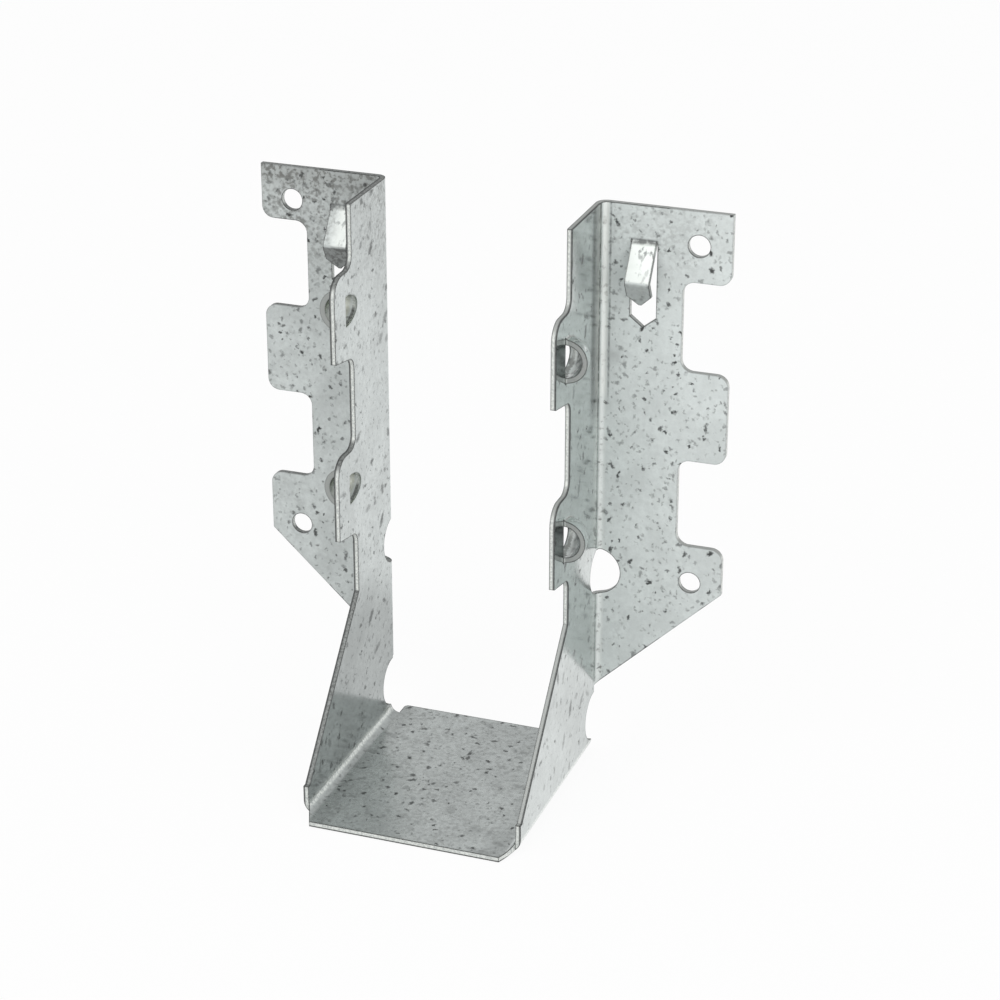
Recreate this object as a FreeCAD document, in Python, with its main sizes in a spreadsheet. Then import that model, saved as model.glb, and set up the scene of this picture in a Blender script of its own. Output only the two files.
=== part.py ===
import FreeCAD, Part
import math
import os
from types import SimpleNamespace

import Sketcher
from FreeCAD import Vector

# A face-mount joist hanger, folded from one piece of galvanised sheet.
# Frame: +Z up, +Y towards the header, +X to the right. The backs of both flanges lie in y = 0,
# the underside of the seat in z = 0, and x = 0 is the middle of the joist pocket.
# The blanks are nested on the strip, so the right side's lobes and notches sit lower than the left's.

SIZES = (
    ("sheet_thickness", 1.0, "galvanised sheet"),
    ("joist_width", 39.7, "between the walls"),
    ("hanger_height", 108.0, "seat underside to top edge"),
    ("flange_span", 88.9, "across both flanges"),
    ("seat_depth", 47.0, "header face to the seat's front edge"),
    ("seat_bend_radius", 1.7, "inside radius between seat and wall"),
    ("flange_bend_radius", 1.0, "inside radius between wall and flange"),
    ("nesting_shift", 2.85, "how far the right side's outline sits below the left's"),
    ("wall_depth", 17.65, "header face to the wall's straight front edge"),
    ("lobe_depth", 25.7, "header face to the front of a nailing lobe"),
    ("lobe_length", 15.5, "lobe, top edge to lower tip"),
    ("upper_lobe_drop", 19.4, "top edge to the middle of the left wall's upper lobe"),
    ("lower_lobe_height", 54.5, "seat underside to the middle of the left wall's lower lobe"),
    ("lobe_nose_radius", 3.5, "lobe's upper front corner"),
    ("lobe_root_radius", 2.4, "where a lobe runs into the wall"),
    ("lobe_undercut", 1.0, "rise from a lobe's root to its lower tip"),
    ("brace_top", 33.4, "height where the front edge turns forward"),
    ("corner_setback", 4.0, "seat's front edge back to the slanted corner"),
    ("brace_foot", 5.6, "height where the sloping edge ends"),
    ("corner_step", 0.8, "small step forward below the sloping edge"),
    ("notch_depth", 8.75, "flange edge to the bottom of a notch"),
    ("notch_opening", 16.8, "notch, top to bottom"),
    ("upper_notch_drop", 18.6, "top edge to the middle of the left flange's upper notch"),
    ("lower_notch_height", 55.6, "seat underside to the middle of the left flange's lower notch"),
    ("notch_radius", 2.2, "rounding of the tabs and the notch corners"),
    ("flange_foot", 35.5, "lower corner of the flange"),
    ("bend_foot", 12.4, "lower end of the flange bend"),
    ("relief_radius", 4.75, "relief where three faces meet at the back"),
    ("relief_setback", 2.2, "relief centre, forward of the header face"),
    ("relief_height", 7.2, "relief centre, above the seat's underside"),
    ("seat_bend_setback", 3.2, "header face to the back end of the seat bend"),
    ("seat_corner_radius", 0.8, "back corners of the seat"),
    ("nail_hole", 4.0, "nail hole diameter"),
    ("nail_hole_offset", 6.0, "nail hole, in from the flange edge"),
    ("upper_hole_drop", 6.3, "top edge to the nail hole in the top tab"),
    ("lower_hole_height", 37.1, "seat underside to the nail hole in the bottom tab"),
    ("bend_hole", 9.0, "round hole on the flange bend, in the flat"),
    ("bend_hole_height", 36.8, "its height"),
    ("slot_width", 4.8, "slot that the prong is lanced from"),
    ("slot_offset", 28.5, "slot, out from the middle of the hanger"),
    ("slot_drop", 6.3, "top edge to the slot's upper end, where the prong hinges"),
    ("slot_length", 14.3, "straight sides of the slot"),
    ("slot_point", 1.9, "length of the slot's pointed lower end"),
    ("prong_clearance", 0.15, "gap between prong and slot, each side"),
    ("prong_knee_depth", 5.4, "header face to the front of the knee"),
    ("prong_knee_drop", 6.7, "hinge line to the knee"),
    ("prong_tip_depth", 2.9, "header face to the front of the tip"),
    ("prong_tip_drop", 11.4, "hinge line to the tip"),
    ("prong_tip_flat", 0.5, "blunt end of the tip"),
    ("prong_knee_radius", 1.0, "prong, outside of the knee"),
    ("prong_knee_inside", 0.3, "prong, inside of the knee"),
    ("dome_radius", 4.0, "nail dome, outside, at its mouth"),
    ("dome_length", 6.5, "nail dome, mouth to back"),
    ("dome_mouth", 20.8, "header face to the mouth of the dome"),
    ("dome_root_radius", 0.6, "where the outside of a dome leaves the wall"),
    ("left_dome_rise", 0.5, "left domes, above the middle of their lobes"),
    ("right_dome_drop", 0.5, "right domes, below the middle of their lobes"),
    ("cut_margin", 2.0, "how far a cut runs past the metal"),
)

COUNTER_CLOCKWISE = 1
CLOCKWISE = -1
HALF_TURN = 180
NEARBY = 0.05

document = FreeCAD.newDocument("joist_hanger")
sheet = document.addObject("Spreadsheet::Sheet", "Sizes")
for row, (name, value, meaning) in enumerate(SIZES, start=1):
    sheet.set(f"A{row}", name)
    sheet.set(f"B{row}", str(value))
    sheet.set(f"C{row}", meaning)
    sheet.setAlias(f"B{row}", name)
document.recompute()


class Size:
    """A length that keeps its formula beside its value, so that a sketch stays tied to the sheet."""

    def __init__(self, value, formula):
        self.value = value
        self.formula = formula

    def combine(self, other, sign, value):
        other_formula = other.formula if isinstance(other, Size) else repr(float(other))
        return Size(value, f"({self.formula} {sign} {other_formula})")

    def __add__(self, other):
        return self.combine(other, "+", self.value + number(other))

    def __sub__(self, other):
        return self.combine(other, "-", self.value - number(other))

    def __mul__(self, other):
        return self.combine(other, "*", self.value * number(other))

    def __truediv__(self, other):
        return self.combine(other, "/", self.value / number(other))

    def __neg__(self):
        return self * -1


def number(length):
    return length.value if isinstance(length, Size) else float(length)


size = SimpleNamespace(**{name: Size(float(sheet.get(name)), f"Sizes.{name}") for name, _, _ in SIZES})
zero = Size(0.0, "0")

# Sizes that follow from the ones above
half_inside = size.joist_width / 2
half_outside = half_inside + size.sheet_thickness
flange_edge = size.flange_span / 2
seat_bend_outside = size.seat_bend_radius + size.sheet_thickness
flange_bend_outside = size.flange_bend_radius + size.sheet_thickness
flange_bend_end = half_inside + flange_bend_outside
notch_face = flange_edge - size.notch_depth
corner_front = size.seat_depth - size.corner_setback
brace_depth = corner_front - size.corner_step

body = document.addObject("PartDesign::Body", "joist_hanger")
body.Label = "joist_hanger"


def origin_plane(role):
    return next(plane for plane in body.Origin.OriginFeatures if plane.Role == role)


def new_sketch(name, role, offset, sideways=zero):
    """An empty sketch on one of the body's own planes, moved along its normal and along its first axis."""
    sketch = body.newObject("Sketcher::SketchObject", name)
    sketch.AttachmentSupport = [(origin_plane(role), "")]
    sketch.MapMode = "FlatFace"
    sketch.setExpression("AttachmentOffset.Base.x", sideways.formula)
    sketch.setExpression("AttachmentOffset.Base.z", offset.formula)
    return sketch


def place_point(edge, end, x, y):
    """The two dimensions that hold one point of an outline."""
    return [("DistanceX", (-1, 1, edge, end), x), ("DistanceY", (-1, 1, edge, end), y)]


def add_dimensions(sketch, dimensions):
    """Dimensions of a sketch, given as (kind, places, length), each tied to its formula."""
    constraints = [Sketcher.Constraint(kind, *places, length.value) for kind, places, length in dimensions]
    indices = sketch.addConstraint(constraints)
    for index, (_, _, length) in zip(indices, dimensions):
        sketch.setExpression(f"Constraints[{index}]", length.formula)


def arc_between(start, end, radius, turn):
    """The shorter arc from start to end, turning the given way."""
    chord = end - start
    height = math.sqrt(max(radius ** 2 - (chord.Length / 2) ** 2, 0))
    sideways = Vector(-chord.y, chord.x, 0).normalize()
    centre = (start + end) / 2 + sideways * height * turn
    first, last = (start, end) if turn == COUNTER_CLOCKWISE else (end, start)
    first_angle = math.atan2(first.y - centre.y, first.x - centre.x)
    last_angle = math.atan2(last.y - centre.y, last.x - centre.x)
    circle = Part.Circle(centre, Vector(0, 0, 1), radius)
    return Part.ArcOfCircle(circle, first_angle, last_angle)


def draw_loop(sketch, points):
    """A closed outline. A point is (x, y), or (x, y, radius, turn) where an arc leads to the next one."""
    edges = []
    dimensions = []
    for place, point in enumerate(points):
        following = points[(place + 1) % len(points)]
        start = Vector(number(point[0]), number(point[1]), 0)
        end = Vector(number(following[0]), number(following[1]), 0)
        if len(point) == 2:
            edges.append((sketch.addGeometry(Part.LineSegment(start, end)), 1, 2))
        else:
            _, _, radius, turn = point
            arc = sketch.addGeometry(arc_between(start, end, radius.value, turn))
            dimensions.append(("Radius", (arc,), radius))
            edges.append((arc, 1, 2) if turn == COUNTER_CLOCKWISE else (arc, 2, 1))
        edge, start_end, _ = edges[-1]
        dimensions += place_point(edge, start_end, point[0], point[1])
    joints = []
    for place, (edge, _, finish_end) in enumerate(edges):
        next_edge, next_start, _ = edges[(place + 1) % len(edges)]
        joints.append(Sketcher.Constraint("Coincident", edge, finish_end, next_edge, next_start))
    sketch.addConstraint(joints)
    add_dimensions(sketch, dimensions)


def draw_circle(sketch, x, y, diameter):
    circle = sketch.addGeometry(Part.Circle(Vector(number(x), number(y), 0), Vector(0, 0, 1), diameter.value / 2))
    add_dimensions(sketch, [("Diameter", (circle,), diameter), *place_point(circle, 3, x, y)])


def add_pad(name, sketch, length, middle=False, reverse=False):
    pad = body.newObject("PartDesign::Pad", name)
    pad.Profile = sketch
    pad.Midplane = middle
    pad.Reversed = reverse
    pad.setExpression("Length", length.formula)
    document.recompute()


def add_pocket(name, sketch, length, along_normal):
    """A cut that has to take metal away, or the model stops here."""
    before = body.Shape.Volume
    pocket = body.newObject("PartDesign::Pocket", name)
    pocket.Profile = sketch
    pocket.Reversed = along_normal
    pocket.setExpression("Length", length.formula)
    document.recompute()
    if not body.Shape.Volume < before:
        raise RuntimeError(f"{name} cuts nothing")


def round_edges(name, radius, is_wanted):
    """A rounding along the edges whose bounding box passes the test."""
    found = [f"Edge{place}" for place, edge in enumerate(body.Shape.Edges, start=1) if is_wanted(edge.BoundBox)]
    if not found:
        raise RuntimeError(f"{name} finds no edge")
    base = body.Tip
    rounding = body.newObject("PartDesign::Fillet", name)
    rounding.Base = (base, found)
    rounding.setExpression("Radius", radius.formula)
    document.recompute()


def mirror_path(points):
    """The same outline on the other side of the middle, drawn in the opposite direction."""
    mirrored = []
    for place in range(len(points) - 1, -1, -1):
        arc = points[place - 1][2:] if place else ()
        mirrored.append((-points[place][0], points[place][1], *arc))
    return mirrored


# Seat and walls: a U section with rounded bends, as deep as the seat
right_outside = [
    (half_outside - seat_bend_outside, zero, seat_bend_outside, COUNTER_CLOCKWISE),
    (half_outside, seat_bend_outside),
    (half_outside, size.hanger_height),
]
right_inside = [
    (half_inside, size.hanger_height),
    (half_inside, seat_bend_outside, size.seat_bend_radius, CLOCKWISE),
    (half_inside - size.seat_bend_radius, size.sheet_thickness),
]
trough_section = new_sketch("trough_section", "XZ_Plane", zero)
draw_loop(trough_section, right_outside + right_inside + mirror_path(right_inside) + mirror_path(right_outside))
add_pad("trough", trough_section, size.seat_depth)


def across(side, length):
    """A distance from the middle of the hanger, on the given side."""
    return length * side


def outward(side):
    """Whether a side's cut from the middle outwards runs along the X axis."""
    return side > 0


def add_flange(name, side):
    """One flange with its bend, as a strip seen from above, and the rounded back of the bend."""
    turn = CLOCKWISE if side > 0 else COUNTER_CLOCKWISE
    strip = new_sketch(f"{name}_flange_section", "XY_Plane", size.relief_height)
    draw_loop(strip, [
        (across(side, half_inside), -flange_bend_outside, flange_bend_outside, turn),
        (across(side, flange_bend_end), zero),
        (across(side, flange_edge), zero),
        (across(side, flange_edge), -size.sheet_thickness),
        (across(side, flange_bend_end), -size.sheet_thickness, size.flange_bend_radius, -turn),
        (across(side, half_outside), -flange_bend_outside),
    ])
    height = size.hanger_height - size.relief_height
    add_pad(f"{name}_flange", strip, height)
    corner = new_sketch(f"{name}_bend_back", "XY_Plane", size.relief_height)
    draw_loop(corner, [
        (across(side, half_inside), -flange_bend_outside, flange_bend_outside, turn),
        (across(side, flange_bend_end), zero),
        (across(side, half_inside), zero),
    ])
    add_pocket(f"{name}_bend_rounding", corner, height, along_normal=True)


def trim_flange_foot(name, side):
    """The flange's lower end, cut on the slant from its edge to the bend."""
    waste = new_sketch(f"{name}_foot_waste", "XZ_Plane", zero)
    draw_loop(waste, [
        (across(side, flange_edge + size.cut_margin), size.flange_foot),
        (across(side, flange_edge), size.flange_foot),
        (across(side, half_inside), size.bend_foot),
        (across(side, half_inside), size.relief_height),
        (across(side, flange_edge + size.cut_margin), size.relief_height),
    ])
    add_pocket(f"{name}_foot", waste, flange_bend_outside, along_normal=True)


def cut_notch(name, side, middle):
    """One notch in a flange's edge, with rounded corners in and out."""
    top = middle + size.notch_opening / 2
    bottom = middle - size.notch_opening / 2
    radius = size.notch_radius
    turn = CLOCKWISE if side > 0 else COUNTER_CLOCKWISE
    waste = new_sketch(f"{name}_waste", "XZ_Plane", zero)
    draw_loop(waste, [
        (across(side, flange_edge), top + radius, radius, turn),
        (across(side, flange_edge - radius), top),
        (across(side, notch_face + radius), top, radius, -turn),
        (across(side, notch_face), top - radius),
        (across(side, notch_face), bottom + radius, radius, -turn),
        (across(side, notch_face + radius), bottom),
        (across(side, flange_edge - radius), bottom, radius, turn),
        (across(side, flange_edge), bottom - radius),
        (across(side, flange_edge + size.cut_margin), bottom - radius),
        (across(side, flange_edge + size.cut_margin), top + radius),
    ])
    add_pocket(name, waste, size.sheet_thickness, along_normal=True)


def trim_wall(name, side):
    """The wall's front edge: upright, then sloping down to the seat's front corner."""
    waste = new_sketch(f"{name}_front_waste", "YZ_Plane", across(side, half_inside - size.seat_bend_radius))
    top = size.hanger_height + size.cut_margin
    draw_loop(waste, [
        (-size.wall_depth, top),
        (-size.wall_depth, size.brace_top),
        (-brace_depth, size.brace_foot),
        (-corner_front, size.brace_foot),
        (-corner_front, seat_bend_outside),
        (-(size.seat_depth + size.cut_margin), seat_bend_outside),
        (-(size.seat_depth + size.cut_margin), top),
    ])
    add_pocket(f"{name}_front", waste, flange_edge, along_normal=outward(side))


def trim_corner(name, side):
    """The slanted corner at the seat's front, cut across the seat bend."""
    waste = new_sketch(f"{name}_corner_waste", "XY_Plane", zero)
    draw_loop(waste, [
        (across(side, half_outside + size.cut_margin), -corner_front),
        (across(side, half_inside), -corner_front),
        (across(side, half_inside - size.seat_bend_radius), -size.seat_depth),
        (across(side, half_inside - size.seat_bend_radius), -(size.seat_depth + size.cut_margin)),
        (across(side, half_outside + size.cut_margin), -(size.seat_depth + size.cut_margin)),
    ])
    add_pocket(f"{name}_corner", waste, seat_bend_outside, along_normal=True)


def add_lobe(name, side, middle):
    """A nailing lobe that stands forward of the wall's upright edge."""
    top = middle + size.lobe_length / 2
    tip = middle - size.lobe_length / 2
    root = tip - size.lobe_undercut
    outline = new_sketch(f"{name}_outline", "YZ_Plane", across(side, half_inside))
    draw_loop(outline, [
        (-size.wall_depth, top + size.lobe_root_radius, size.lobe_root_radius, CLOCKWISE),
        (-(size.wall_depth + size.lobe_root_radius), top),
        (-(size.lobe_depth - size.lobe_nose_radius), top, size.lobe_nose_radius, COUNTER_CLOCKWISE),
        (-size.lobe_depth, top - size.lobe_nose_radius),
        (-size.lobe_depth, tip),
        (-(size.wall_depth + size.lobe_root_radius), root, size.lobe_root_radius, CLOCKWISE),
        (-size.wall_depth, root - size.lobe_root_radius),
    ])
    add_pad(name, outline, size.sheet_thickness, reverse=not outward(side))


def cut_relief(name, side):
    """The relief at the back, where seat, wall and flange would meet: round, and open towards the header."""
    relief = new_sketch(f"{name}_relief_circle", "YZ_Plane", across(side, half_inside - size.seat_bend_radius))
    draw_circle(relief, -size.relief_setback, size.relief_height, size.relief_radius * 2)
    add_pocket(f"{name}_relief", relief, flange_edge, along_normal=outward(side))
    opening = new_sketch(f"{name}_relief_opening", "YZ_Plane", across(side, half_inside - size.seat_bend_radius))
    draw_loop(opening, [
        (size.cut_margin, size.relief_height),
        (-size.seat_bend_setback, size.relief_height),
        (-size.seat_bend_setback, -size.cut_margin),
        (size.cut_margin, -size.cut_margin),
    ])
    add_pocket(f"{name}_relief_back", opening, flange_edge, along_normal=outward(side))
    seat_corner = Vector(side * (half_inside - size.seat_bend_radius).value, 0, size.sheet_thickness.value / 2)

    def is_seat_corner(box):
        return box.Center.isEqual(seat_corner, NEARBY) and box.ZLength > seat_corner.z

    round_edges(f"{name}_seat_corner", size.seat_corner_radius, is_seat_corner)


def cut_bend_hole(name, side):
    """The round hole that is centred on the bend in the flat, so it is cut from both faces."""
    half_bend = (size.flange_bend_radius + size.sheet_thickness / 2) * (math.pi / 4)
    depth = flange_bend_outside - size.flange_bend_radius * math.cos(math.pi / 4)
    in_wall = new_sketch(f"{name}_bend_hole_side", "YZ_Plane", across(side, half_inside))
    draw_circle(in_wall, half_bend - flange_bend_outside, size.bend_hole_height, size.bend_hole)
    add_pocket(f"{name}_bend_hole_wall", in_wall, depth, along_normal=outward(side))
    in_flange = new_sketch(f"{name}_bend_hole_front", "XZ_Plane", zero)
    draw_circle(in_flange, across(side, flange_bend_end - half_bend), size.bend_hole_height, size.bend_hole)
    add_pocket(f"{name}_bend_hole_flange", in_flange, depth, along_normal=True)


def cut_nail_holes():
    """Four nail holes: one in the top tab and one in the bottom tab of each flange."""
    holes = new_sketch("nail_hole_circles", "XZ_Plane", zero)
    for side in (-1, 1):
        for height in (size.hanger_height - size.upper_hole_drop, size.lower_hole_height):
            draw_circle(holes, across(side, flange_edge - size.nail_hole_offset), height, size.nail_hole)
    add_pocket("nail_holes", holes, size.sheet_thickness, along_normal=True)


def lance_prong(name, side):
    """The slot with its pointed lower end, and the prong that is folded out of it as a hook."""
    middle = size.slot_offset
    half_slot = size.slot_width / 2
    hinge = size.hanger_height - size.slot_drop
    shoulder = hinge - size.slot_length
    slot = new_sketch(f"{name}_slot_outline", "XZ_Plane", zero)
    draw_loop(slot, [
        (across(side, middle - half_slot), hinge),
        (across(side, middle - half_slot), shoulder),
        (across(side, middle), shoulder - size.slot_point),
        (across(side, middle + half_slot), shoulder),
        (across(side, middle + half_slot), hinge),
    ])
    add_pocket(f"{name}_slot", slot, size.sheet_thickness, along_normal=True)

    knee = hinge - size.prong_knee_drop
    tip = hinge - size.prong_tip_drop
    profile = new_sketch(f"{name}_prong_profile", "YZ_Plane", across(side, middle))
    draw_loop(profile, [
        (-size.sheet_thickness, hinge),
        (-size.prong_knee_depth, knee),
        (-size.prong_tip_depth, tip),
        (size.sheet_thickness - size.prong_tip_depth, tip),
        (size.sheet_thickness - size.prong_knee_depth, knee),
        (zero, hinge),
    ])
    add_pad(f"{name}_prong", profile, size.slot_width - size.prong_clearance * 2, middle=True)

    half_prong = half_slot - size.prong_clearance
    point = new_sketch(f"{name}_prong_point_waste", "XZ_Plane", size.sheet_thickness)
    for edge in (-1, 1):
        draw_loop(point, [
            (across(side, middle + half_prong * edge), tip + size.slot_point),
            (across(side, middle + size.prong_tip_flat / 2 * edge), tip),
            (across(side, middle + half_prong * edge), tip),
        ])
    add_pocket(f"{name}_prong_point", point, size.prong_knee_depth, along_normal=True)

    def runs_across(depth, height):
        corner = (side * middle.value, -number(depth), number(height))
        return lambda box: box.DiagonalLength > half_slot.value and box.Center.isEqual(Vector(*corner), NEARBY)

    round_edges(f"{name}_prong_knee", size.prong_knee_radius, runs_across(size.prong_knee_depth, knee))
    knee_back = size.prong_knee_depth - size.sheet_thickness
    round_edges(f"{name}_prong_knee_back", size.prong_knee_inside, runs_across(knee_back, knee))


def draw_quarter_ellipse(sketch, side, radius, length):
    """Half the section of a dome: a quarter of an ellipse, from the rim of the mouth back to the wall."""
    centre = Vector(0, -size.dome_mouth.value, 0)
    rim = centre + Vector(side * radius.value, 0, 0)
    back = centre + Vector(0, length.value, 0)
    quarter_turn = math.pi / 2
    ellipse = Part.Ellipse(back, centre - Vector(radius.value, 0, 0), centre)
    start = 3 * quarter_turn if side > 0 else 0
    rim_end, back_end = (1, 2) if side > 0 else (2, 1)
    arc = sketch.addGeometry(Part.ArcOfEllipse(ellipse, start, start + quarter_turn))
    mouth_edge = sketch.addGeometry(Part.LineSegment(centre, rim))
    wall_edge = sketch.addGeometry(Part.LineSegment(back, centre))
    sketch.exposeInternalGeometry(arc)
    long_axis = wall_edge + 1
    sketch.addConstraint([
        Sketcher.Constraint("Coincident", mouth_edge, 1, wall_edge, 2),
        Sketcher.Constraint("Coincident", mouth_edge, 2, arc, rim_end),
        Sketcher.Constraint("Coincident", wall_edge, 1, arc, back_end),
        Sketcher.Constraint("Coincident", mouth_edge, 1, arc, 3),
        Sketcher.Constraint("Vertical", long_axis),
        Sketcher.Constraint("Vertical", wall_edge),
        Sketcher.Constraint("Horizontal", mouth_edge),
    ])
    add_dimensions(sketch, [
        *place_point(mouth_edge, 1, zero, -size.dome_mouth),
        ("DistanceX", (-1, 1, mouth_edge, 2), across(side, radius)),
        ("DistanceY", (-1, 1, wall_edge, 1), length - size.dome_mouth),
    ])


def revolve_dome(name, kind, side, height, radius, length, angle):
    """A dome's outside or its hollow: its section, turned about the line where it leaves the wall."""
    section = new_sketch(f"{name}_section", "XY_Plane", height, across(side, half_outside))
    draw_quarter_ellipse(section, side, radius, length)
    turned = body.newObject(f"PartDesign::{kind}", name)
    turned.Profile = section
    turned.ReferenceAxis = (section, ["V_Axis"])
    turned.Angle = angle
    turned.Midplane = True
    document.recompute()


def raise_dome(name, side, height):
    """One nail guide: the wall is slit across and pushed out behind the slit into a half dome, open forwards."""
    revolve_dome(f"{name}_dome", "Revolution", side, height, size.dome_radius, size.dome_length, HALF_TURN)
    hollow_radius = size.dome_radius - size.sheet_thickness
    hollow_length = size.dome_length - size.sheet_thickness
    before = body.Shape.Volume
    revolve_dome(f"{name}_dome_hollow", "Groove", side, height, hollow_radius, hollow_length, HALF_TURN * 2)
    if not body.Shape.Volume < before:
        raise RuntimeError(f"{name}_dome_hollow cuts nothing")
    foot = Vector(side * half_outside.value, size.dome_length.value / 2 - size.dome_mouth.value, height.value)

    def runs_round(box):
        on_wall = abs(box.Center.x - foot.x) < NEARBY and box.XLength < NEARBY
        half_round = min(box.YLength, box.ZLength) > size.dome_radius.value / 2
        return on_wall and half_round and box.Center.distanceToPoint(foot) < size.dome_radius.value

    round_edges(f"{name}_dome_root", size.dome_root_radius, runs_round)


def finish_side(name, side, shift, dome_rise):
    """Everything on one side, with its outline moved down by the nesting shift."""
    add_flange(name, side)
    trim_flange_foot(name, side)
    cut_notch(f"{name}_upper_notch", side, size.hanger_height - size.upper_notch_drop - shift)
    cut_notch(f"{name}_lower_notch", side, size.lower_notch_height - shift)
    trim_wall(name, side)
    trim_corner(name, side)
    cut_relief(name, side)
    cut_bend_hole(name, side)
    lobes = {
        f"{name}_upper_lobe": size.hanger_height - size.upper_lobe_drop - shift,
        f"{name}_lower_lobe": size.lower_lobe_height - shift,
    }
    for lobe, middle in lobes.items():
        add_lobe(lobe, side, middle)
        raise_dome(lobe, side, middle + dome_rise)
    lance_prong(name, side)


finish_side("left", -1, zero, size.left_dome_rise)
finish_side("right", 1, size.nesting_shift, -size.right_dome_drop)
cut_nail_holes()

document.recompute()
for item in document.Objects:
    if {"Invalid", "Error"} & set(item.State):
        raise RuntimeError(f"{item.Label} failed")
if body.Shape.isNull() or not body.Shape.isValid() or len(body.Shape.Solids) != 1:
    raise RuntimeError("the hanger isn't one sound solid")
print("hanger:", round(body.Shape.Volume), "mm3 of sheet,", len(body.Shape.Faces), "faces")

os.makedirs("parts", exist_ok=True)
body.Shape.exportStep(f"parts/{body.Label}.step")
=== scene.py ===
# %% [markdown]
# # A galvanised joist hanger, lit like a catalogue photograph
#
# A joist hanger is one piece of zinc-coated steel sheet, folded into a stirrup that carries the end of a
# floor joist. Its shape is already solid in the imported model, so this lesson leaves the shape alone and
# works on what makes sheet steel look real: the zinc skin, the sheared edges, and the light.

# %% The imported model
import math

import bpy
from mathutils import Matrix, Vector


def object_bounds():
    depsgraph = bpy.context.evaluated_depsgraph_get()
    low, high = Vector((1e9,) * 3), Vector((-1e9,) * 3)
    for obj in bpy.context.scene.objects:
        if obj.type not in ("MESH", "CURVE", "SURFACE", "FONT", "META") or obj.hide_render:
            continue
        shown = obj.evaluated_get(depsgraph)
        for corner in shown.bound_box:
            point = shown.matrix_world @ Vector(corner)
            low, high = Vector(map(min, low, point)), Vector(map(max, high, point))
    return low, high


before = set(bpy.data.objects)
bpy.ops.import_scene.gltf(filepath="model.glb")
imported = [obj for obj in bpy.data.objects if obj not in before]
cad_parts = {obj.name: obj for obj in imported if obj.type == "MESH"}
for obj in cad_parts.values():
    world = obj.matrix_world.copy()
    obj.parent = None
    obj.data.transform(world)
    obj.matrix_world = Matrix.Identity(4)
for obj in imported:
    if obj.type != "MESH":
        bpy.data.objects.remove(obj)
cad_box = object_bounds()
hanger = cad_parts["joist_hanger"]
print("hanger:", len(hanger.data.vertices), "corners,", len(hanger.data.polygons), "faces")

# %% [markdown]
# ## The camera
#
# The hanger stands upright and is seen from above and a little from its right, through a long lens, so
# that the two walls stay almost parallel. The camera could be aimed with a Track To constraint. Its place
# and turn are written as numbers here, because they were solved from the object's own corners and a
# constraint would only hide them.

# %% The camera
camera_data = bpy.data.cameras.new("long_lens")
camera_data.sensor_width = 36.0
camera_data.lens = 100.8
camera_data.clip_start = 0.05
camera_data.clip_end = 20.0
camera = bpy.data.objects.new("camera", camera_data)
camera.location = (0.16306, -0.44547, 0.25937)
camera.rotation_euler = (math.radians(65.92), 0.0, math.radians(19.95))
bpy.context.scene.collection.objects.link(camera)
bpy.context.scene.camera = camera
bpy.context.scene.view_settings.view_transform = "Standard"
print("camera stands", round(camera.location.length, 3), "m from the hanger")

# %% [markdown]
# ## Small tools for shader nodes
#
# A node tree can be clicked together in the editor or built by script. In a script each node takes a
# handful of lines, and the recipe drowns in them. So one helper adds a node with its settings and inputs,
# and an input may be a plain value or another node's output. The others name the steps used most.


# %% Small tools for shader nodes
def add_node(tree, kind, inputs=None, **settings):
    """A new node. An input may be a plain value or another node's output."""
    node = tree.nodes.new(kind)
    for name, value in settings.items():
        setattr(node, name, value)
    for name, value in (inputs or {}).items():
        if isinstance(value, bpy.types.NodeSocket):
            tree.links.new(value, node.inputs[name])
        else:
            node.inputs[name].default_value = value
    return node


def math_step(tree, operation, first, second=0.0):
    return add_node(tree, "ShaderNodeMath", {0: first, 1: second}, operation=operation).outputs["Value"]


def vector_step(tree, operation, first, second=(0.0, 0.0, 0.0), output="Vector"):
    return add_node(tree, "ShaderNodeVectorMath", {0: first, 1: second}, operation=operation).outputs[output]


def distance(tree, point, centre):
    return vector_step(tree, "DISTANCE", point, centre, "Value")


print("four ways to add a node")

# %% [markdown]
# ## Masks
#
# Most of this lesson is masks: values from 0 to 1 that say where something happens. The editor's colour
# ramps would do for one mask. For dozens of them four words are enough: a soft step, a value that follows a
# mask, the product of several conditions, and the highest of several masks.


# %% Masks
def ramp(tree, value, start, end, low=0.0, high=1.0):
    """A value that goes softly from low to high while the given one goes from start to end."""
    limits = {"Value": value, "From Min": start, "From Max": end, "To Min": low, "To Max": high}
    return add_node(tree, "ShaderNodeMapRange", limits, interpolation_type="SMOOTHSTEP").outputs["Result"]


def follow(tree, mask, outside, inside):
    """One value where the mask is 0, another where it is 1."""
    return ramp(tree, mask, 0.0, 1.0, outside, inside)


def product(tree, first, *others):
    """Conditions that must all hold, or a mask times its strength."""
    for other in others:
        first = math_step(tree, "MULTIPLY", first, other)
    return first


def highest(tree, first, *others):
    """Where masks overlap, the strongest shows."""
    for other in others:
        first = math_step(tree, "MAXIMUM", first, other)
    return first


print("masks go from 0 to 1")

# %% [markdown]
# ## Colours and layers
#
# A finish is built as a painter would, one thin layer over another, each held back by a mask. Blender's
# Mix node does that for one layer, so a helper stacks them. Zinc is not a neutral grey: it leans a little
# to blue-green, and all its tones come from one helper that knows this.


# %% Colours and layers
def blend(tree, amount, first, second):
    """A colour between two others."""
    # Sockets 0, 6 and 7 are the Mix node's factor and its two colours.
    mix = add_node(tree, "ShaderNodeMix", data_type="RGBA")
    for socket, value in zip((mix.inputs[0], mix.inputs[6], mix.inputs[7]), (amount, first, second)):
        if isinstance(value, bpy.types.NodeSocket):
            tree.links.new(value, socket)
        else:
            socket.default_value = value
    return mix.outputs[2]


def layer(tree, under, colour, *masks):
    """A colour laid over what is under it, where all the masks hold. A plain number holds it back."""
    return blend(tree, product(tree, *masks), under, colour)


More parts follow.
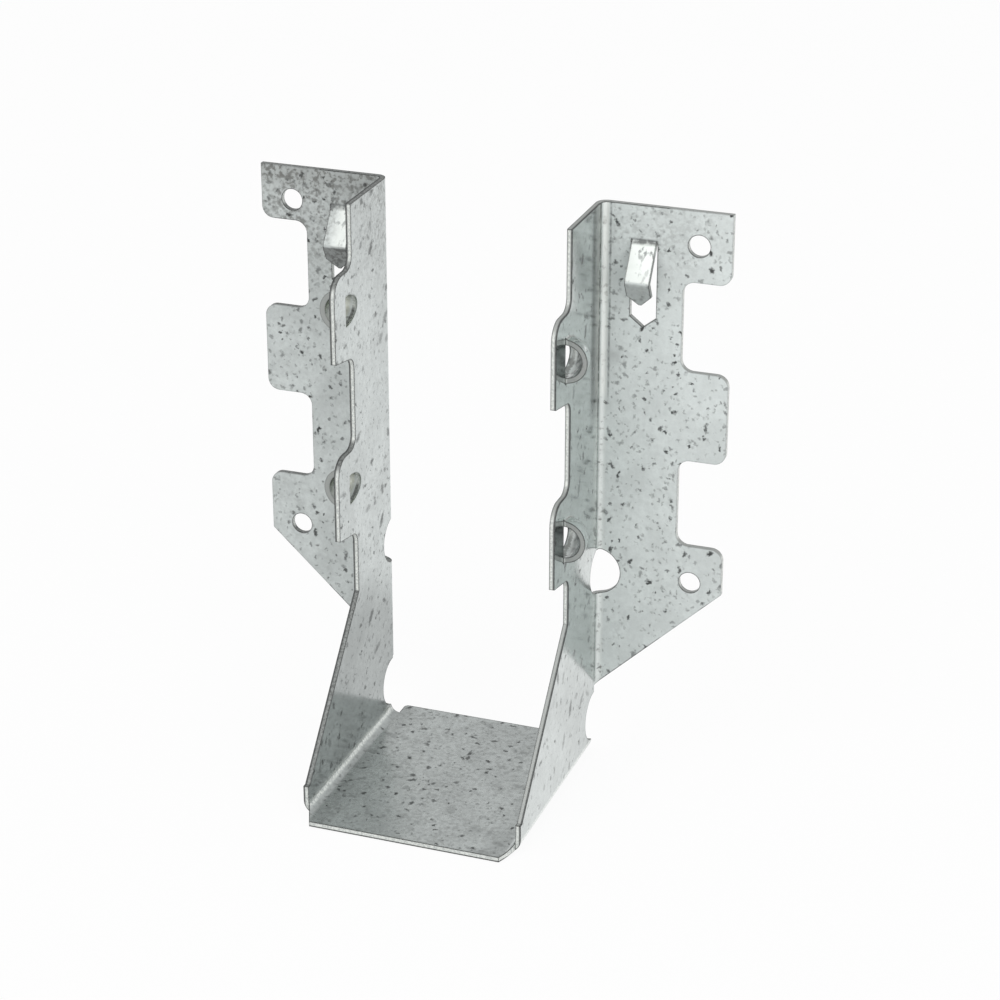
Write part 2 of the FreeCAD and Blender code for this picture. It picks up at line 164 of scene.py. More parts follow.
def grey(level, warmth=0.0):
    """A near-neutral colour with a touch of blue-green, as zinc has."""
    return (level * (0.955 + warmth), level * 1.015, level * (1.0 - warmth), 1.0)


white = (1.0, 1.0, 1.0, 1.0)
nearly_black = grey(0.035)
print("zinc grey:", [round(channel, 3) for channel in grey(0.57)])

# %% [markdown]
# ## A white sweep to stand on
#
# In a catalogue picture the table runs up into the wall behind it without a corner. That could be one big
# plane under a white world, but a curved sweep also gives the metal something to reflect. For the camera it
# is plain white. In reflections its upper part is a pale grey, because a real studio falls off behind the
# object, and the spot between the hanger's walls carries a painted shadow that stands in for the hanger's
# own shade there. For soft light it is paper, so the hanger is never washed out.


# %% White for the eye, paper for the light
def empty_tree(owner):
    owner.use_nodes = True
    owner.node_tree.nodes.clear()
    return owner.node_tree


def add_sweep_paper():
    paper = bpy.data.materials.new("white_paper")
    tree = empty_tree(paper)
    place = add_node(tree, "ShaderNodeTexCoord").outputs["Object"]
    height = add_node(tree, "ShaderNodeSeparateXYZ", {"Vector": place}).outputs["Z"]
    fall_off = ramp(tree, height, 0.25, 0.80, 1.0, 0.76)
    # Painted shadow: reflections see the floor darker between and behind the hanger's walls.
    between_the_walls = (-0.004, 0.022, 0.0)
    shade = ramp(tree, distance(tree, place, between_the_walls), 0.014, 0.045, 0.68, 1.0)
    path = add_node(tree, "ShaderNodeLightPath").outputs
    is_mirrored = highest(tree, path["Is Glossy Ray"], path["Is Transmission Ray"])
    is_seen = highest(tree, path["Is Camera Ray"], is_mirrored)
    level = follow(tree, is_mirrored, 1.0, product(tree, fall_off, shade))
    glow = add_node(tree, "ShaderNodeEmission", {"Color": white, "Strength": level})
    surface = add_node(tree, "ShaderNodeBsdfDiffuse", {"Color": (0.86, 0.86, 0.86, 1.0)})
    shadow_share = 0.07
    glow_share = product(tree, is_seen, 1.0 - shadow_share)
    mix_inputs = {0: glow_share, 1: surface.outputs[0], 2: glow.outputs[0]}
    mix = add_node(tree, "ShaderNodeMixShader", mix_inputs)
    add_node(tree, "ShaderNodeOutputMaterial", {"Surface": mix.outputs[0]})
    return paper


paper = add_sweep_paper()
print("paper nodes:", len(paper.node_tree.nodes))

# %% [markdown]
# ## The sweep's shape
#
# The sweep is a sheet that bends only one way, so it needs no sculpting and no modifier: its side view is a
# line, and every point of that line is drawn twice, once at each side. It is far larger than the hanger, so
# that its borders never show in the zinc, and it lies a hair below the seat so that the two don't flicker.


# %% The sweep: a floor that turns up into a wall
def sweep_profile(front, back, radius, height, steps):
    """The side view of the sweep: flat floor, quarter turn, upright wall."""
    line = [(front, 0.0), (back - radius, 0.0)]
    for step in range(1, steps + 1):
        turn = math.radians(90.0 * step / steps)
        line.append((back - radius + radius * math.sin(turn), radius - radius * math.cos(turn)))
    line.append((back, height))
    return line


half_width = 3.0
below_seat = 0.0002
profile = sweep_profile(front=-3.0, back=2.4, radius=0.9, height=3.0, steps=24)
corners = [(x, y, z - below_seat) for y, z in profile for x in (-half_width, half_width)]
strips = [(row, row + 1, row + 3, row + 2) for row in range(0, 2 * len(profile) - 2, 2)]
sweep_mesh = bpy.data.meshes.new("sweep")
sweep_mesh.from_pydata(corners, [], strips)
sweep_mesh.materials.append(paper)
for face in sweep_mesh.polygons:
    face.use_smooth = True
sweep = bpy.data.objects.new("sweep", sweep_mesh)
bpy.context.scene.collection.objects.link(sweep)
print("sweep:", len(strips), "strips")

# %% [markdown]
# ## The air of the studio
#
# A plain world fills the shadows. It could be one even white, but then soft light and reflections would
# have the same strength, and the zinc would either glare or go dull. So reflections find a white room and
# soft light finds a dimmer one.

# %% The air of the studio
world = bpy.data.worlds.new("studio_air")
bpy.context.scene.world = world
tree = empty_tree(world)
path = add_node(tree, "ShaderNodeLightPath").outputs
seen = highest(tree, path["Is Camera Ray"], path["Is Glossy Ray"], path["Is Transmission Ray"])
air_strength = follow(tree, seen, 0.75, 1.0)
air = add_node(tree, "ShaderNodeBackground", {"Color": white, "Strength": air_strength})
add_node(tree, "ShaderNodeOutputWorld", {"Surface": air.outputs["Background"]})
print("world nodes:", len(tree.nodes))

# %% [markdown]
# ## Two softboxes
#
# Zinc is a dull mirror, so what stands round the hanger matters more than how strong the lamps are. One
# large softbox stands in front and above on the left: the hooked prongs tip back just enough to catch it,
# and with the painted highlight on their upper faces they are the brightest thing on the object. A second
# one, low on the right, lights the outer face of the right-hand wall. Small lamps would give the same light
# with hard sparkles, so the size of the boxes is the choice that counts.


# %% Two softboxes
def softbox(name, place, side, watts):
    """A square area light that faces the middle of the hanger."""
    light = bpy.data.lights.new(name, "AREA")
    light.shape = "RECTANGLE"
    light.size = side
    light.size_y = side
    light.energy = watts
    lamp = bpy.data.objects.new(name, light)
    lamp.location = place
    aim = Vector((0.0, -0.01, 0.05)) - Vector(place)
    lamp.rotation_euler = aim.to_track_quat("-Z", "Y").to_euler()
    bpy.context.scene.collection.objects.link(lamp)
    print(name, "of", watts, "watts")


softbox("front_softbox", place=(-0.36, -0.80, 0.95), side=0.8, watts=3.8)
softbox("right_softbox", place=(0.95, -0.80, 0.30), side=0.7, watts=5.0)

# %% [markdown]
# ## Which faces are sheared
#
# Sheet metal has two kinds of face: the big zinc-coated ones, and the 1 mm wide ones that the press
# sheared, where bare steel shows. They could be picked by hand, but the sheet itself tells them apart. A
# ray sent inwards from a coated face leaves the metal again after 1 mm, while from a sheared face it runs
# on along the sheet. Geometry Nodes sends that ray from every face and stores the answer, and the packed
# mesh stays untouched.

# %% The sheared faces
marker = bpy.data.node_groups.new("mark_sheared_faces", "GeometryNodeTree")
marker.interface.new_socket("Geometry", in_out="INPUT", socket_type="NodeSocketGeometry")
marker.interface.new_socket("Geometry", in_out="OUTPUT", socket_type="NodeSocketGeometry")
packed = add_node(marker, "NodeGroupInput").outputs["Geometry"]
weld_reach = 0.000002
weld = add_node(marker, "GeometryNodeMergeByDistance", {"Geometry": packed, "Distance": weld_reach})
whole = weld.outputs["Geometry"]
position = add_node(marker, "GeometryNodeInputPosition").outputs["Position"]
normal = add_node(marker, "GeometryNodeInputNormal").outputs["Normal"]
inwards = vector_step(marker, "MULTIPLY", normal, (-1.0, -1.0, -1.0))
hair = 0.00002
ray_start = vector_step(marker, "ADD", position, vector_step(marker, "MULTIPLY", inwards, (hair,) * 3))
ray_inputs = {
    "Target Geometry": whole,
    "Source Position": ray_start,
    "Ray Direction": inwards,
    "Ray Length": 0.2,
}
ray = add_node(marker, "GeometryNodeRaycast", ray_inputs)
sheet_thickness = 0.001
too_far = 1.3 * sheet_thickness
runs_on = math_step(marker, "GREATER_THAN", ray.outputs["Hit Distance"], too_far)
store_inputs = {"Geometry": whole, "Name": "sheared", "Value": runs_on}
store = add_node(marker, "GeometryNodeStoreNamedAttribute", store_inputs, data_type="FLOAT", domain="FACE")
print("a face is sheared where the ray runs further than", round(too_far, 4), "m")

# %% [markdown]
# ## Smooth bends and crisp corners
#
# The bends are round and the sheared corners are sharp, yet both arrive as flat facets. Every face is
# shaded smooth, and edges that turn more than 33 degrees are kept crisp. A Bevel modifier would round the
# corners for real, but it would also move them inwards, and the hanger has to keep its size. The Weighted
# Normal modifier then keeps the flat faces flat right up to the bends.

# %% Smooth bends and crisp corners
smooth_inputs = {"Geometry": store.outputs["Geometry"], "Shade Smooth": True}
smooth = add_node(marker, "GeometryNodeSetShadeSmooth", smooth_inputs, domain="FACE")
edge_angle = add_node(marker, "GeometryNodeInputMeshEdgeAngle").outputs["Unsigned Angle"]
is_corner = math_step(marker, "GREATER_THAN", edge_angle, math.radians(33.0))
crisp_inputs = {"Geometry": smooth.outputs["Geometry"], "Selection": is_corner, "Shade Smooth": False}
crisp = add_node(marker, "GeometryNodeSetShadeSmooth", crisp_inputs, domain="EDGE")
add_node(marker, "NodeGroupOutput", {"Geometry": crisp.outputs["Geometry"]})

mark_faces = hanger.modifiers.new("mark_sheared_faces", "NODES")
mark_faces.node_group = marker
flat_stays_flat = hanger.modifiers.new("flat_stays_flat", "WEIGHTED_NORMAL")
flat_stays_flat.mode = "FACE_AREA"
flat_stays_flat.weight = 100
flat_stays_flat.keep_sharp = True

dressed = hanger.evaluated_get(bpy.context.evaluated_depsgraph_get()).data
sheared_values = [value.value for value in dressed.attributes["sheared"].data]
print("sheared faces:", round(sum(sheared_values)), "of", len(sheared_values))

# %% [markdown]
# ## Galvanised sheet: where each mark lies
#
# All patterns are laid out in millimetres of the hanger's own space, so they keep their true size and run
# on round the bends. A photograph of galvanised sheet would only suit one object. Procedural textures fit
# any shape, and each layer can be turned up or down on its own.

# %% Galvanised sheet: coordinates in millimetres
zinc = bpy.data.materials.new("galvanised_sheet")
tree = empty_tree(zinc)
metres = add_node(tree, "ShaderNodeTexCoord").outputs["Object"]
place = vector_step(tree, "MULTIPLY", metres, (1000.0, 1000.0, 1000.0))
axes = add_node(tree, "ShaderNodeSeparateXYZ", {"Vector": place})
across, towards_header, up = axes.outputs["X"], axes.outputs["Y"], axes.outputs["Z"]
from_middle = math_step(tree, "ABSOLUTE", across)
facing = add_node(tree, "ShaderNodeNewGeometry").outputs["Normal"]
facing_axes = add_node(tree, "ShaderNodeSeparateXYZ", {"Vector": facing})
facing_up = facing_axes.outputs["Z"]


def noise(tree, vector, per_millimetre, detail, output="Fac"):
    """Noise of so many waves per millimetre, with so many finer octaves in it."""
    settings = {"Vector": vector, "Scale": per_millimetre, "Detail": detail, "Roughness": 0.6}
    return add_node(tree, "ShaderNodeTexNoise", settings).outputs[output]


def between(tree, value, low, high, softness):
    """1 between the two limits, 0 outside them, with a soft step at each."""
    rise = ramp(tree, value, low - softness, low + softness)
    fall = ramp(tree, value, high - softness, high + softness, 1.0, 0.0)
    return product(tree, rise, fall)


def left_and_right(tree, left, right):
    """One value on the left half of the hanger, another on the right half."""
    return ramp(tree, across, -1.0, 1.0, left, right)


# The flanges' top edge, how far out the walls' outer faces lie, and where along y a bend becomes a flange.
top = 1000.0 * cad_box[1][2]
wall_outside = 20.85
flange_start = (-1.6, -1.2)
print("top edge:", round(top, 2), "mm up, walls", wall_outside, "mm out")

# %% [markdown]
# ## Galvanised sheet: dark flecks
#
# Dross grains in the zinc bath leave short dark flecks, about a millimetre long, lying every way and
# gathered in loose chains. A thresholded noise alone gives round blots. Here each cell of a Voronoi pattern
# holds at most one long grain, turned at random in space, and the sheet's surface slices through it. So
# the flecks come out in all lengths and directions.


# %% Galvanised sheet: a grain in each cell
def flecks(tree, vector, cell, half_length, half_width, share):
    """Grains in a share of the cells, as a mask from 0 to 1. All sizes in millimetres."""
    grid = vector_step(tree, "MULTIPLY", vector, (1.0 / cell,) * 3)
    cells = add_node(tree, "ShaderNodeTexVoronoi", {"Vector": grid, "Scale": 1.0})
    chance = add_node(tree, "ShaderNodeSeparateColor", {"Color": cells.outputs["Color"]}).outputs
    from_grain = vector_step(tree, "SUBTRACT", grid, cells.outputs["Position"])
    turns = vector_step(tree, "MULTIPLY", cells.outputs["Color"], (math.tau,) * 3)
    spin = {"Vector": from_grain, "Rotation": turns}
    turned = add_node(tree, "ShaderNodeVectorRotate", spin, rotation_type="EULER_XYZ").outputs["Vector"]
    stretch = (cell / half_length, cell / half_width, cell / half_width)
    reach = vector_step(tree, "LENGTH", vector_step(tree, "MULTIPLY", turned, stretch), output="Value")
    size = follow(tree, chance["Green"], 0.5, 1.1)
    grain = ramp(tree, math_step(tree, "DIVIDE", reach, size), 1.2, 0.5)
    present = math_step(tree, "LESS_THAN", chance["Red"], share)
    return product(tree, grain, present, follow(tree, chance["Blue"], 0.5, 1.0))


print("each cell holds one grain or none")

# %% [markdown]
# ## Galvanised sheet: three sizes of fleck
#
# The flecks are neither all alike nor evenly spread. One pattern with more randomness would only blur
# them, so three patterns of different size are laid together. A little noise on the coordinates frays
# their edges, and a second noise crowds them along its contour lines, which makes the chains. The largest
# are fainter on the seat.

# %% Galvanised sheet: three sizes of fleck
fray = vector_step(tree, "SUBTRACT", noise(tree, place, 1.5, 4.0, "Color"), (0.5, 0.5, 0.5))
frayed = vector_step(tree, "ADD", place, vector_step(tree, "MULTIPLY", fray, (1.5, 1.5, 1.5)))
contour_height = 0.5
wide_noise = noise(tree, place, 0.14, 2.0)
from_contour = math_step(tree, "ABSOLUTE", math_step(tree, "SUBTRACT", wide_noise, contour_height))
crowding = ramp(tree, from_contour, 0.01, 0.07, 1.0, 0.46)
small = flecks(tree, frayed, cell=1.9, half_length=1.1, half_width=0.45, share=crowding)
shifted = vector_step(tree, "ADD", frayed, (7.3, 1.9, 4.1))
large = flecks(tree, shifted, cell=3.4, half_length=1.9, half_width=0.7, share=crowding)
shifted_again = vector_step(tree, "ADD", frayed, (3.1, 8.7, 2.3))
specks = flecks(tree, shifted_again, cell=1.0, half_length=0.5, half_width=0.28, share=0.6)
fainter_on_seat = ramp(tree, up, 0.9, 4.0, 0.3, 1.0)
all_flecks = highest(tree, small, product(tree, large, fainter_on_seat), product(tree, specks, 0.5))
print("fleck sizes: 0.5, 1.1 and 1.9 mm half length")

# %% [markdown]
# ## Galvanised sheet: clouds and painted light on the right
#
# Between the flecks the zinc is cloudy, in soft patches with fine crystals in them. One noise of many
# octaves would give every size the same weight. Separate ones let the wide clouds stay faint and the
# crystals fainter. The right-hand side gets painted light: it is a little brighter, most of all at its top,
# for the light its wall reflects.

# %% Galvanised sheet: clouds and painted light on the right
wide_clouds = ramp(tree, noise(tree, place, 0.13, 3.0), 0.36, 0.66)
fine_clouds = ramp(tree, noise(tree, place, 0.9, 4.0), 0.35, 0.68)
smudges = ramp(tree, noise(tree, place, 0.11, 4.0), 0.62, 0.76)
crystals = ramp(tree, noise(tree, place, 3.0, 3.0), 0.3, 0.7)
coated = blend(tree, wide_clouds, grey(0.66), grey(0.57))
coated = layer(tree, coated, grey(0.46), fine_clouds, 0.35)
coated = layer(tree, coated, grey(0.30), crystals, 0.12)
coated = layer(tree, coated, grey(0.22), smudges, 0.4)
# Painted light: the right wall and flange are brightened, more towards the top, for the light they reflect.
right_side_painted_light = ramp(tree, across, 15.0, 20.0)
coated = layer(tree, coated, grey(0.95), right_side_painted_light, ramp(tree, up, 45.0, 95.0, 0.10, 0.23))
print("cloudy zinc:", len(tree.nodes), "nodes so far")

# %% [markdown]
# ## Galvanised sheet: packing stains
#
# Where the sheet lay against wet packing it is darker and mottled: at the top of the left flange, a little
# at the top of the right one, all over the seat, and in a rim along the left flange's upper edge. Painting
# the stains on a texture would tie them to one layout of the mesh. Here each place is a distance or a
# height in millimetres, and a mottle of two noises breaks it up.

# %% Galvanised sheet: packing stains
coarse_mottle = ramp(tree, noise(tree, place, 0.35, 3.0), 0.35, 0.65, 0.45, 1.0)
mottle = product(tree, ramp(tree, noise(tree, place, 1.25, 5.0), 0.43, 0.62), coarse_mottle)
left_top = ramp(tree, distance(tree, place, (-34.0, 0.0, top - 3.0)), 30.0, 6.0)
right_top = ramp(tree, distance(tree, place, (32.0, 0.0, top - 2.0)), 16.0, 5.0, 0.0, 0.4)
on_seat = ramp(tree, up, 2.2, 0.8, 0.0, 0.5)
on_left_flange = ramp(tree, across, -20.0, -21.0, 0.0, 0.16)
stained = highest(tree, left_top, right_top, on_seat, on_left_flange)
broken_up = math_step(tree, "ADD", product(tree, mottle, 0.85), 0.15)
coated = layer(tree, coated, grey(0.20, 0.03), stained, broken_up, 0.9)
upper_rim = ramp(tree, up, top - 6.5, top - 1.0)
left_rim = product(tree, upper_rim, ramp(tree, across, -19.0, -22.0))
coated = layer(tree, coated, grey(0.16, 0.04), left_rim, follow(tree, mottle, 0.35, 0.9))
print("stains: two flange tops, the seat and the left rim")

# %% [markdown]
# ## Galvanised sheet: flecks over the stains
#
# The flecks lie in the zinc and the stains on it, yet the flecks stay visible, so they are laid over the
# stains. They are fainter on the walls than on the flanges and the seat, which one strength for all
# couldn't give.

# %% Galvanised sheet: flecks over the stains
fleck_strength = ramp(tree, towards_header, *flange_start, 0.74, 0.96)
fleck_strength = highest(tree, fleck_strength, ramp(tree, up, 2.0, 1.2, 0.0, 1.0))
coated = layer(tree, coated, nearly_black, all_flecks, fleck_strength)
print("layers of zinc so far:", len(tree.nodes), "nodes")

# %% [markdown]
# ## Galvanised sheet: marks and painted light by the right bend
#
# The clamp that held the blank beside the right-hand bend rubbed it. On the flange lie a pale strip, partly
# a rub mark and partly a painted highlight of the bend, and a thin dark rub line. On the wall lie a strip of
# painted shade, standing in for the dark bend that the wall mirrors, and a cracked line. A scratch texture
# would scatter them, and these run straight along the bend, so each is a pair of limits in millimetres.

# %% Galvanised sheet: marks and painted light by the right bend
beside_bend = between(tree, across, wall_outside + 0.05, wall_outside + 1.15, 0.15)
thin_line = between(tree, across, wall_outside + 1.30, wall_outside + 1.65, 0.12)
upper_part = product(tree, ramp(tree, up, 70.0, 74.0), ramp(tree, towards_header, *flange_start))
worn = follow(tree, fine_clouds, 0.9, 0.3)
# Partly painted highlight: the pale strip beside the bend is a rub mark with the bend's highlight painted
# into it.
coated = layer(tree, coated, grey(0.74, 0.03), beside_bend, follow(tree, upper_part, 0.25, 0.65))
coated = layer(tree, coated, grey(0.12), product(tree, thin_line, upper_part), worn, 0.75)

wall_face = between(tree, across, wall_outside - 0.25, wall_outside + 0.35, 0.1)
on_right_wall = product(tree, wall_face, ramp(tree, up, 66.0, 72.0))
wall_painted_shade = between(tree, towards_header, -6.6, -2.2, 0.9)
crack_line = between(tree, towards_header, -2.6, -1.9, 0.2)
in_pieces = ramp(tree, noise(tree, place, 0.5, 3.0), 0.42, 0.52)
# Painted shade: a darker strip on the right wall beside the bend.
coated = layer(tree, coated, grey(0.20), on_right_wall, wall_painted_shade, 0.66)
coated = layer(tree, coated, grey(0.05), on_right_wall, crack_line, in_pieces, 0.85)
print("rub marks: x 20.9 to 22.5 mm, above z 70 mm")

# %% [markdown]
# ## Galvanised sheet: painted highlight and shade at the seat bend
#
# Where the sheet turns up from the seat, a pale, speckled line runs along the bend: a painted highlight,
# standing in for the light the inner bend mirrors. Beside it on the seat lies a duller strip of painted
# shade, in the corner by the bend. Such marks are often placed with the Geometry node's Pointiness, but that
# changes with how finely the mesh is cut. Both strips follow the height above the seat instead, and that
# stays the same all along the bend.

# %% Galvanised sheet: painted highlight and shade at the seat bend
at_bend = ramp(tree, from_middle, 17.4, 17.9)
speckles = ramp(tree, noise(tree, place, 2.2, 4.0), 0.42, 0.60, 0.15, 0.95)
beside_seat_bend = ramp(tree, from_middle, 13.5, 17.5)
seat_painted_shade = between(tree, up, 0.5, 1.4, 0.15)
# Painted shade: a duller strip on the seat beside the bend.
coated = layer(tree, coated, grey(0.12), beside_seat_bend, seat_painted_shade, 0.18)
# Painted highlight: a pale speckled line along the bend.
coated = layer(tree, coated, grey(0.90, 0.03), at_bend, between(tree, up, 1.55, 2.7, 0.2), speckles)
print("seat bend: crazed between 1.6 and 2.7 mm up")

# %% [markdown]
# ## Galvanised sheet: burnished prongs
# The prongs' upper faces carry a painted highlight, almost white, for the softbox they tip back to catch. A
# few dark smears lie on it, strongest near the hinge, and the undersides carry painted shade. They could be
# a second material, but the sheet is one piece and the change is gradual, so a mask round each prong mixes
# it in. The left prong's painted highlight is weaker towards its outer side, and its underside's painted
# shade is the darker one.

# %% Galvanised sheet: painted light on the prongs
above_tip = ramp(tree, up, top - 19.1, top - 19.0)
prong_box = product(tree, between(tree, from_middle, 26.2, 30.8, 0.05), above_tip)
prong = product(tree, prong_box, ramp(tree, towards_header, -1.05, -1.15))
along_prong = vector_step(tree, "MULTIPLY", place, (1.6, 1.0, 0.7))
smears = ramp(tree, noise(tree, along_prong, 0.55, 6.0), 0.54, 0.62)
near_hinge = ramp(tree, up, top - 10.5, top - 7.0, 0.35, 1.0)
# Painted highlight: the prongs' upper faces are painted almost white.
painted_highlight = layer(tree, grey(0.80, 0.02), grey(0.2), smears, near_hinge)
highlight_share = ramp(tree, across, -30.6, -27.6, 0.1, 1.0)
coated = layer(tree, coated, painted_highlight, prong, ramp(tree, facing_up, 0.1, 0.4), highlight_share)
# Painted shade: the prongs' undersides are darkened, the left one more.
underside = ramp(tree, facing_up, 0.1, -0.2)
underside_shade = product(tree, left_and_right(tree, 1.0, 0.48), follow(tree, mottle, 0.7, 1.0))
coated = layer(tree, coated, grey(0.12, 0.02), product(tree, prong, underside), underside_shade)
print("prongs: burnished above z", round(top - 19.0, 1), "mm")

# %% [markdown]
# ## Galvanised sheet: where the prongs hinge
#
# Each prong has a dark line of painted shade where it leaves the flange, in the crease of its fold. The
# crease could be cut into the mesh, but at a millimetre high its colour is all that shows.

# %% Galvanised sheet: where the prongs hinge
# Painted shade: a dark line in the crease where each prong folds out of the flange.
hinge = product(tree, between(tree, up, top - 7.0, top - 6.1, 0.3), prong_box)
coated = layer(tree, coated, grey(0.12), hinge, follow(tree, fine_clouds, 0.95, 0.4))
print("hinge lines: z", round(top - 7.0, 1), "to", round(top - 6.1, 1), "mm")

# %% [markdown]
# ## Galvanised sheet: inside the domes
#
# The domes are pressed outwards, and inside them lies painted shade for the hollow: olive on the left,
# nearly black on the right, and lighter towards the mouth. The inner faces could be picked by hand. But the
# inner side of a dome is the part that lies outside the wall's inner face and yet faces the middle, so place
# and direction together find it.

# %% Galvanised sheet: inside the domes
side_of_middle = math_step(tree, "SIGN", across)
faces_middle = product(tree, facing_axes.outputs["X"], side_of_middle, -1.0)
pressed_out = ramp(tree, from_middle, wall_outside - 0.65, wall_outside + 0.75)
past_bend = ramp(tree, towards_header, -2.0, -2.4)
inside_dome = product(tree, pressed_out, ramp(tree, faces_middle, 0.0, 0.35), past_bend)
uneven = follow(tree, fine_clouds, 0.5, 0.9)
lighter_at_mouth = ramp(tree, towards_header, -19.8, -16.5, 0.5, 1.0)
olive_shade = (0.42, 0.43, 0.36, 1.0)
dome_shade = blend(tree, left_and_right(tree, 0.0, 1.0), olive_shade, grey(0.07))
# Painted shade: the domes' hollows are darkened, olive on the left and nearly black on the right.
coated = layer(tree, coated, dome_shade, inside_dome, uneven, lighter_at_mouth)
print("domes: dull inside from", round(wall_outside - 0.65, 2), "mm off the middle")

# %% [markdown]
# ## Sheared edges: bare steel
#
# A sheared edge is bare steel, smeared with a little zinc: less of a mirror than the skin, and streaked
# across the sheet. Dust lies on the edges that face up, and the domes' rims are darker. These could be
# separate materials, but they meet in soft borders, so they are layers of one steel.

# %% Sheared edges: bare steel
steel_noise = noise(tree, place, 2.6, 3.0)


def streaks(tree, first, second):
    """A value that wavers between two others along a sheared edge."""
    return ramp(tree, steel_noise, 0.3, 0.7, first, second)


steel = blend(tree, ramp(tree, steel_noise, 0.35, 0.65), grey(0.74, 0.03), grey(0.50, 0.01))
dusty_top = product(tree, ramp(tree, facing_up, 0.3, 0.7), ramp(tree, across, 5.0, 15.0, 1.0, 0.6))
beyond_wall = ramp(tree, from_middle, wall_outside + 0.10, wall_outside + 0.45)
dome_rim = product(tree, beyond_wall, past_bend)
# Upward-facing edges get dust, and the domes' rims are made darker.
dust_and_dark_rims = highest(tree, dusty_top, product(tree, dome_rim, left_and_right(tree, 0.6, 0.7)))
steel = layer(tree, steel, grey(0.08), dust_and_dark_rims, streaks(tree, 1.0, 0.55))
print("bare steel:", len(tree.nodes), "nodes so far")

# %% [markdown]
# ## Sheared edges: the burr side
#
# A shear cuts cleanly at first and then tears, so each edge has a bright side and a dark one, the burr. On
# the walls the dark side is the outer one, and on the seat the lower one. A sloping texture would need a
# direction for every edge, and here the distance from the middle and the height already tell the sides
# apart. The domes' mouths are left out, because their edges lie in the same layer of the wall. For them
# the right side is lifted in thought, so that its domes fall on the left ones and are found with them.

# %% Sheared edges: the burr side
right_domes_lower = 3.85
dome_level = math_step(tree, "ADD", up, left_and_right(tree, 0.0, right_domes_lower))
side_view_inputs = {"X": 0.0, "Y": towards_header, "Z": dome_level}
side_view = add_node(tree, "ShaderNodeCombineXYZ", side_view_inputs).outputs["Vector"]
left_dome_heights = (89.1, 55.0)
from_domes = [distance(tree, side_view, (0.0, -18.0, height)) for height in left_dome_heights]
by_dome = ramp(tree, math_step(tree, "MINIMUM", *from_domes), 5.2, 4.8)

outer_layer = ramp(tree, from_middle, wall_outside - 0.45, wall_outside - 0.23)
not_beyond = ramp(tree, from_middle, wall_outside + 0.11, wall_outside + 0.03)
on_wall = ramp(tree, towards_header, -2.2, -2.6)
off_domes = math_step(tree, "SUBTRACT", 1.0, by_dome)
wall_burr = product(tree, outer_layer, not_beyond, on_wall, off_domes)
seat_burr = ramp(tree, up, 0.34, 0.18)
steel = layer(tree, steel, grey(0.05), highest(tree, wall_burr, seat_burr), streaks(tree, 0.95, 0.7))
print("burr: the outer 0.4 mm of the walls' edges and the lower 0.3 mm of the seat's")

# %% [markdown]
# ## Sheared edges: dark corners
#
# The two corners of a sheared edge read as thin dark lines: partly painted shade, where the surface turns
# away from the light at a corner, and partly zinc that tore at the corner, where dirt stays.
# Drawing them would take a line for every edge of the outline. The Bevel node gives the direction that a
# rounded copy of the surface would face, and this differs from the real one only near a corner.

# %% Sheared edges: dark corners
corner_reach = 0.00042
rounded = add_node(tree, "ShaderNodeBevel", {"Radius": corner_reach}, samples=8).outputs["Normal"]
agreement = vector_step(tree, "DOT_PRODUCT", rounded, facing, "Value")
# Painted shade in part: every corner, convex or hollow, gets a thin dark line.
corner_shade_and_dirt = product(tree, ramp(tree, agreement, 0.988, 0.92), streaks(tree, 1.0, 0.75))
print("corner lines: within", corner_reach, "m of a corner")

# %% [markdown]
# ## Sheared edges: where the lines are faint
#
# Not every corner line is equally dark. The lines are clear round the nail holes, on the inner part of each
# flange and on the walls, and faint along the flanges' outer edges and at the left-hand domes. One strength
# for all would make the hanger look drawn, so each place gets its own share.

# %% Sheared edges: where the lines are faint
folded_view_inputs = {"X": from_middle, "Y": 0.0, "Z": up}
folded_view = add_node(tree, "ShaderNodeCombineXYZ", folded_view_inputs).outputs["Vector"]
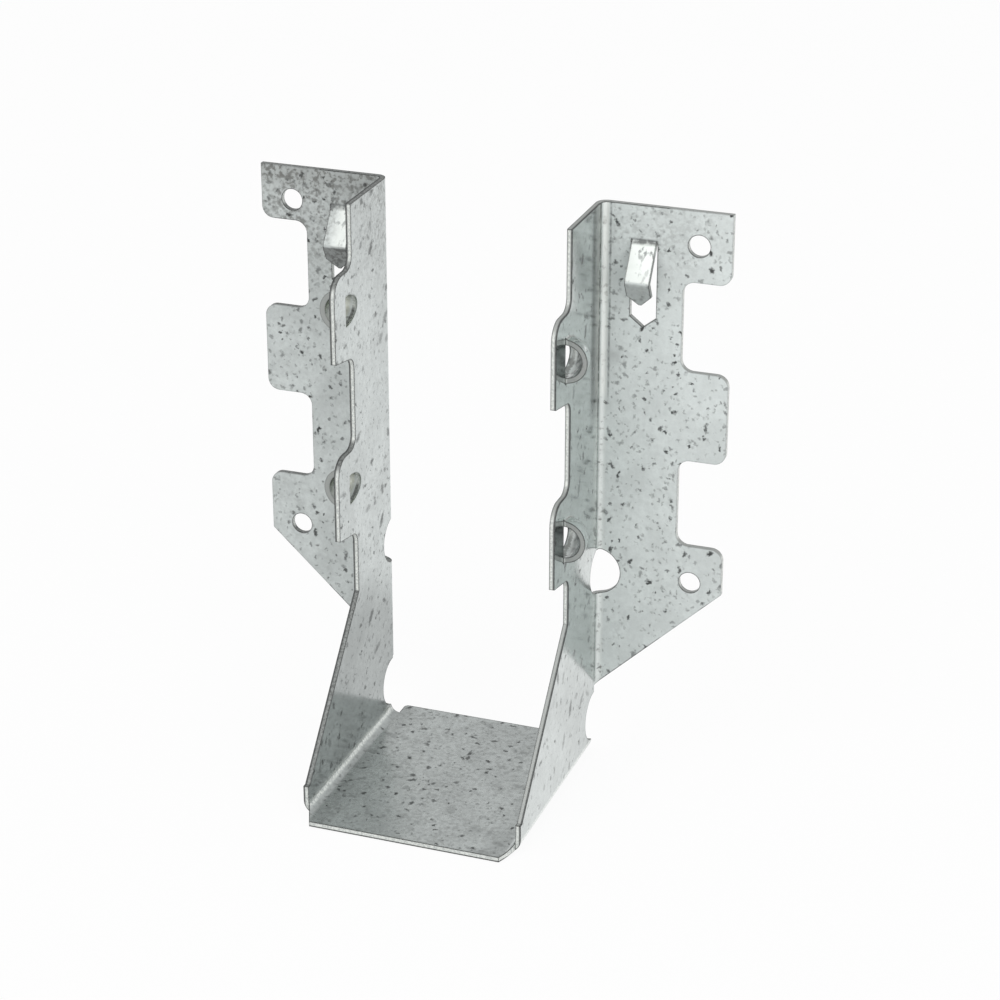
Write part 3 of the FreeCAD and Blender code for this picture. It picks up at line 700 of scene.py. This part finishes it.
# Each height is halfway between the left and the right nail hole, which lies 2.85 mm lower.
hole_heights = (100.3, 35.7)
hole_from_middle = 38.45
from_holes = [distance(tree, folded_view, (hole_from_middle, 0.0, height)) for height in hole_heights]
by_hole = ramp(tree, math_step(tree, "MINIMUM", *from_holes), 4.6, 4.0)
by_slot = ramp(tree, from_middle, 33.5, 32.5)
off_flange = ramp(tree, towards_header, *reversed(flange_start))
clear_place = highest(tree, by_hole, by_slot, off_flange)
at_left_dome = product(tree, by_dome, ramp(tree, across, -19.5, -19.7))
faint_on_flange = follow(tree, clear_place, 0.35, 1.0)
faint_at_dome = follow(tree, at_left_dome, 1.0, 0.35)
corner_shade_and_dirt = product(tree, corner_shade_and_dirt, faint_on_flange, faint_at_dome)
print("faint lines keep a share of 0.35")

# %% [markdown]
# ## How sharply the zinc mirrors
#
# Looked at straight on, galvanised sheet is matte, and along its surface it is nearly a mirror: the lower
# end of the left wall shows the seat with a clear edge, while the flanges show nothing. One roughness
# can't do both. Layer Weight tells how steeply the surface is seen, and the roughness follows it.

# %% How sharply the zinc mirrors
sheared = add_node(tree, "ShaderNodeAttribute", attribute_name="sheared").outputs["Fac"]
steepness = add_node(tree, "ShaderNodeLayerWeight", {"Blend": 0.5}).outputs["Facing"]
zinc_roughness = ramp(tree, steepness, 0.20, 0.70, 0.48, 0.13)
zinc_roughness = math_step(tree, "ADD", zinc_roughness, product(tree, all_flecks, 0.15))
zinc_roughness = math_step(tree, "ADD", zinc_roughness, product(tree, fine_clouds, 0.06))
zinc_metallic = ramp(tree, steepness, 0.20, 0.55, 0.35, 1.0)
steel_roughness = 0.55
steel_metallic = 0.35
roughness = follow(tree, sheared, zinc_roughness, steel_roughness)
metallic = follow(tree, sheared, zinc_metallic, steel_metallic)
print("gloss of zinc and steel:", len(tree.nodes), "nodes so far")

# %% [markdown]
# ## The finished skin
#
# All layers meet in one Principled shader. The stored attribute chooses between zinc and steel, the corner
# lines lie over both, and a slight ripple keeps the flat faces from looking like glass. The hanger could
# carry one material for zinc and one for steel, but then the corner lines would be needed twice.

# %% The finished skin
skin = blend(tree, sheared, coated, steel)
skin = layer(tree, skin, nearly_black, corner_shade_and_dirt)
ripple_inputs = {"Strength": 0.12, "Distance": 0.00005, "Height": noise(tree, place, 0.8, 4.0)}
ripple = add_node(tree, "ShaderNodeBump", ripple_inputs).outputs["Normal"]
skin_inputs = {"Base Color": skin, "Metallic": metallic, "Roughness": roughness, "Normal": ripple}
surface = add_node(tree, "ShaderNodeBsdfPrincipled", skin_inputs)
add_node(tree, "ShaderNodeOutputMaterial", {"Surface": surface.outputs["BSDF"]})

for slot in hanger.material_slots:
    slot.link = "OBJECT"
    slot.material = zinc
print("galvanised sheet:", len(tree.nodes), "nodes")
